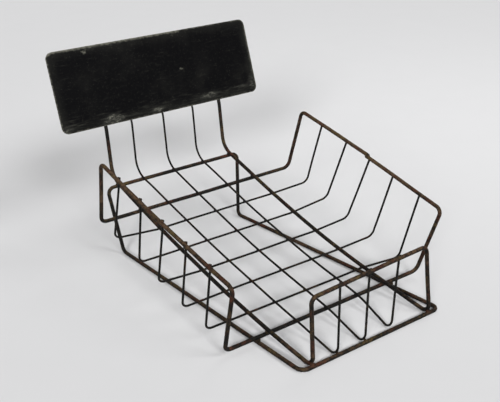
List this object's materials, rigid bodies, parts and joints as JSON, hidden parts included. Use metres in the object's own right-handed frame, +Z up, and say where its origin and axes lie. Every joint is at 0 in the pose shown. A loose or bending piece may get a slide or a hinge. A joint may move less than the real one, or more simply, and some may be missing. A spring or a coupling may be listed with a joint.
{
  "type": "wire newspaper tray",
  "caption": "Sloping counter-top tray of bent and welded steel wire that holds a stack of newspapers behind a low front lip, with a flat sheet metal sign standing at the back.",
  "frame": {"origin": "under the middle of the whole tray, on the surface that the stand rests on", "axes": "+X to the right seen from the front lip, +Y from the lip to the sign at the back, +Z up"},
  "size_m": [0.3128, 0.4252, 0.262],
  "materials": {
    "frame_wire": "dark paint worn through to brown rust on drawn steel wire",
    "mesh_wire": "thin black paint with light rust on drawn steel wire",
    "sign_sheet": "black enamel on sheet steel, scuffed and chipped at the edges"
  },
  "bodies": {
    "root": {"stand": "frame_wire", "rail_frame": "frame_wire", "basket_rim": "frame_wire", "cross_wire_1": "mesh_wire", "cross_wire_2": "mesh_wire", "cross_wire_3": "mesh_wire", "cross_wire_4": "mesh_wire", "cross_wire_5": "mesh_wire", "long_wire_1": "mesh_wire", "long_wire_2": "mesh_wire", "long_wire_3": "mesh_wire", "sign_plate": "sign_sheet"}
  },
  "joints": []
}
